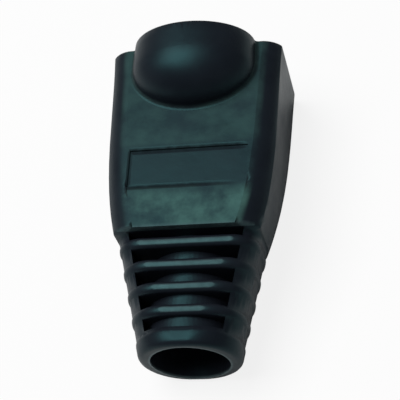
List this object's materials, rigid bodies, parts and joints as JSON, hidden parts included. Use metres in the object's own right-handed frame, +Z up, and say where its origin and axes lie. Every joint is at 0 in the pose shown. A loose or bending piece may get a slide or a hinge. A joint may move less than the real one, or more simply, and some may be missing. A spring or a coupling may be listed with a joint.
{
  "type": "rj45 strain relief boot",
  "caption": "Snagless RJ45 strain relief boot: rectangular plug socket, domed latch hood, flat panel with a shallow blank recess, and a ribbed flexible tail round the cable bore.",
  "frame": {"origin": "on the plane it rests on, under the middle of its length and width", "axes": "+Y out of the mouth that takes the plug, -Y along the cable, +Z up out of the flat panel and hood, +X across"},
  "size_m": [0.0136, 0.025, 0.0122],
  "materials": {
    "boot": "satin black, faint blue-green cast"
  },
  "bodies": {
    "root": {"boot": "boot"}
  },
  "joints": []
}
